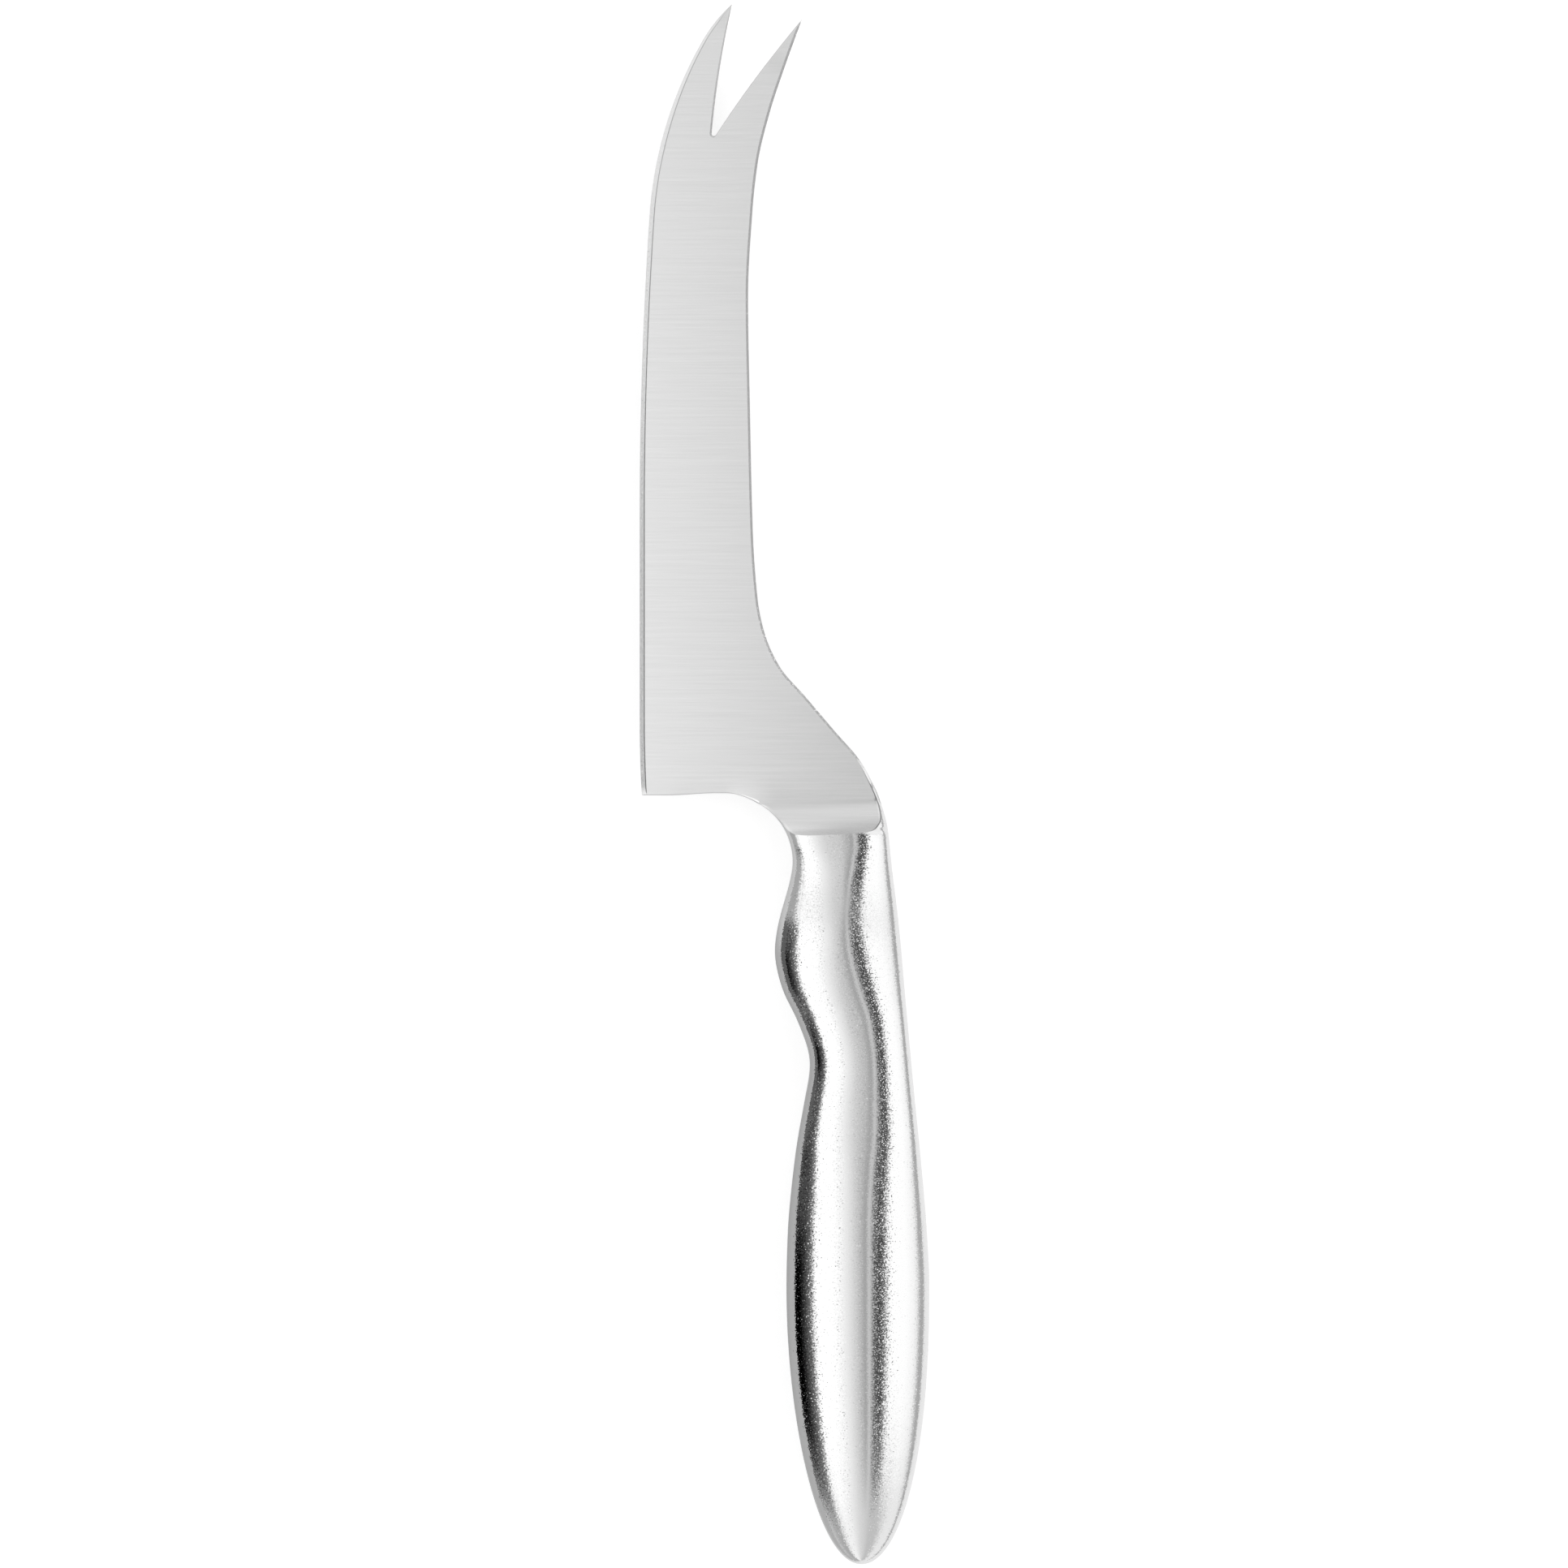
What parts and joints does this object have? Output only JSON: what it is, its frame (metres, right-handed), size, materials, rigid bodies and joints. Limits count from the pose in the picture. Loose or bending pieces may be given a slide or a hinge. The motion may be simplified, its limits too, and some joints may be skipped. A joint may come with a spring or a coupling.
{
  "type": "cheese knife",
  "caption": "All-steel cheese knife with a straight-edged blade, a forked tip for lifting slices and a hollow moulded-grip handle set above the edge line",
  "frame": {"origin": "middle of the bounding box at its underside, with the knife lying level on its flank", "axes": "+Y from the butt to the fork tips, -X towards the cutting edge, +X towards the back, +Z out of the blade's upper flank"},
  "size_m": [0.0476, 0.2564, 0.0127],
  "materials": {
    "blade_steel": "fine cross-brushed stainless steel",
    "handle_steel": "satin polished stainless steel",
    "weld_steel": "weld bead ground flush and satin polished",
    "pin_steel": "turned steel, hidden inside the neck",
    "filling_cement": "grey resin cement, hidden inside the handle"
  },
  "bodies": {
    "root": {"blade": "blade_steel", "bolster_cheek_upper": "handle_steel", "bolster_cheek_lower": "handle_steel", "bolster_pin": "pin_steel", "handle_shell_upper": "handle_steel", "handle_shell_lower": "handle_steel", "seam_weld": "weld_steel", "neck_weld": "weld_steel", "handle_filling": "filling_cement"}
  },
  "joints": []
}
